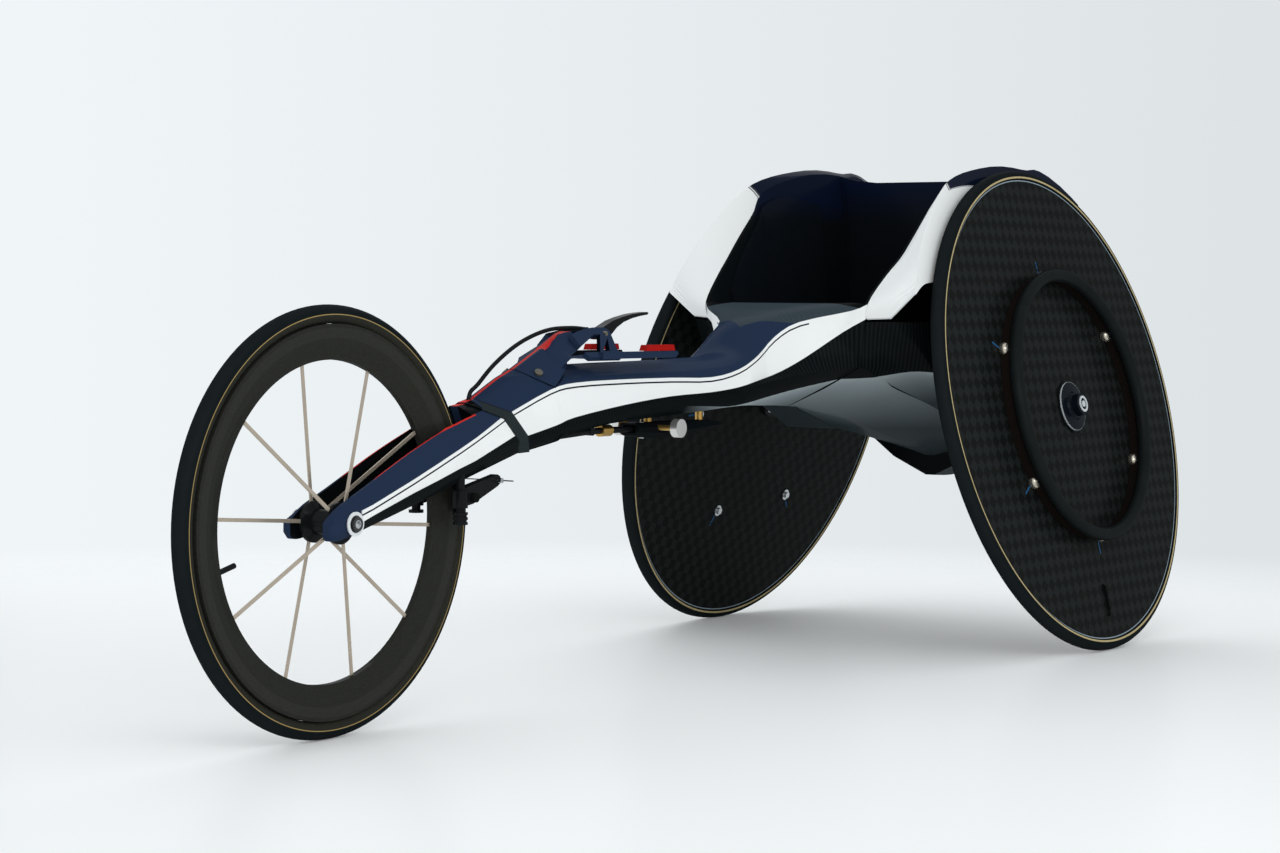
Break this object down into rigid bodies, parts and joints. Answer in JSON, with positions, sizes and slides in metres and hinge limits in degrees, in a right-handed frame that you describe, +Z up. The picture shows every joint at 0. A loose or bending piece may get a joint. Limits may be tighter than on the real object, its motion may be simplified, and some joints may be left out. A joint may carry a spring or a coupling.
{
  "type": "racing wheelchair",
  "caption": "Long racing wheelchair: wedge beam with a bucket seat, cambered disc rear wheels with push rims, raked front fork, spoked front wheel, brake and steering compensator.",
  "frame": {"origin": "on the floor, midway between the foremost and rearmost points of the tyres, on the middle plane", "axes": "+X forward along the beam, +Y to the rider's left, +Z up"},
  "size_m": [1.8345, 0.6618, 0.6652],
  "materials": {
    "navy_shell": "gloss metallic paint over moulded composite",
    "dark_shell": "woven composite, clear coat",
    "disc": "woven composite, clear coat",
    "hoop": "satin composite",
    "grip": "matte",
    "tyre": "matte",
    "pad": "satin",
    "black_metal": "satin black",
    "steel": "brushed",
    "silver": "satin",
    "brass": "satin",
    "cable": "satin"
  },
  "bodies": {
    "frame": {"main_beam": "navy_shell", "seat_tub": "dark_shell", "seat_back": "dark_shell", "tail_fairing": "dark_shell", "left_wing": "dark_shell", "right_wing": "dark_shell", "left_fender": "navy_shell", "right_fender": "navy_shell", "seat_lip": "dark_shell", "side_liners": "dark_shell", "head_bearings": "steel", "left_axle": "steel", "right_axle": "steel", "comp_housing": "dark_shell", "comp_spacers": "brass", "comp_pin": "steel"},
    "steering": {"fork": "navy_shell", "steerer": "steel", "handlebar": "navy_shell", "handlebar_screws": "steel", "grip_pads": "pad", "lever_pin": "steel", "brake_cable": "cable", "brake_studs": "black_metal", "brake_wire": "steel", "front_axle": "steel", "axle_bolts": "steel"},
    "lever": {"brake_lever": "black_metal"},
    "left_arm": {"left_brake_arm": "black_metal", "left_brake_pad": "grip"},
    "right_arm": {"right_brake_arm": "black_metal", "right_brake_pad": "grip"},
    "compensator": {"comp_arm": "steel", "comp_barrel": "brass"},
    "left_limit": {"left_limit_screw": "brass"},
    "right_limit": {"right_limit_screw": "brass"},
    "front_wheel": {"front_tyre": "tyre", "front_rim": "disc", "front_spokes": "steel", "front_hub": "black_metal", "front_bearings": "steel", "front_valve": "black_metal"},
    "left_wheel": {"left_tyre": "tyre", "left_disc": "disc", "left_hub": "black_metal", "left_bearings": "steel", "left_hub_cap": "black_metal", "left_hoop": "hoop", "left_handrim": "grip", "left_standoffs": "silver"},
    "right_wheel": {"right_tyre": "tyre", "right_disc": "disc", "right_hub": "black_metal", "right_bearings": "steel", "right_hub_cap": "black_metal", "right_hoop": "hoop", "right_handrim": "grip", "right_standoffs": "silver"}
  },
  "joints": [
    {"name": "steer", "type": "hinge", "parent": "frame", "child": "steering", "pos_m": [0.39685, 0, 0.33], "axis": [-0.6428, 0, 0.766], "range_deg": [-10, 10]},
    {"name": "compensator_turn", "type": "hinge", "parent": "frame", "child": "compensator", "pos_m": [0.08936, 0, 0.316], "axis": [0, 0, 1], "range_deg": [-2.2, 2.2]},
    {"name": "front_wheel_spin", "type": "hinge", "parent": "steering", "child": "front_wheel", "pos_m": [0.68275, 0, 0.2345], "axis": [0, 1, 0], "continuous": true},
    {"name": "left_wheel_spin", "type": "hinge", "parent": "frame", "child": "left_wheel", "pos_m": [-0.57925, 0.24458, 0.32908], "axis": [0, 0.9728, 0.2317], "continuous": true},
    {"name": "right_wheel_spin", "type": "hinge", "parent": "frame", "child": "right_wheel", "pos_m": [-0.57925, -0.24458, 0.32908], "axis": [0, 0.9728, -0.2317], "continuous": true},
    {"name": "brake_lever_turn", "type": "hinge", "parent": "steering", "child": "lever", "pos_m": [0.19564, 0, 0.4346], "axis": [0, -1, 0], "range_deg": [0, 18], "stiffness_Nm_per_rad": 0.5},
    {"name": "left_arm_turn", "type": "hinge", "parent": "steering", "child": "left_arm", "pos_m": [0.4922, 0.032, 0.252], "axis": [0, 0, 1], "range_deg": [0, 5.1]},
    {"name": "right_arm_turn", "type": "hinge", "parent": "steering", "child": "right_arm", "pos_m": [0.4922, -0.032, 0.252], "axis": [0, 0, -1], "range_deg": [0, 5.1]},
    {"name": "left_limit_turn", "type": "hinge", "parent": "frame", "child": "left_limit", "pos_m": [0.07329, 0.03, 0.317], "axis": [0, 1, 0], "continuous": true},
    {"name": "right_limit_turn", "type": "hinge", "parent": "frame", "child": "right_limit", "pos_m": [0.07329, -0.03, 0.317], "axis": [0, 1, 0], "continuous": true}
  ],
  "couplings": [
    {"joint": "compensator_turn", "follows": "steer", "ratio": -0.16378},
    {"joint": "left_arm_turn", "follows": "brake_lever_turn", "ratio": 0.278},
    {"joint": "right_arm_turn", "follows": "brake_lever_turn", "ratio": 0.278}
  ]
}
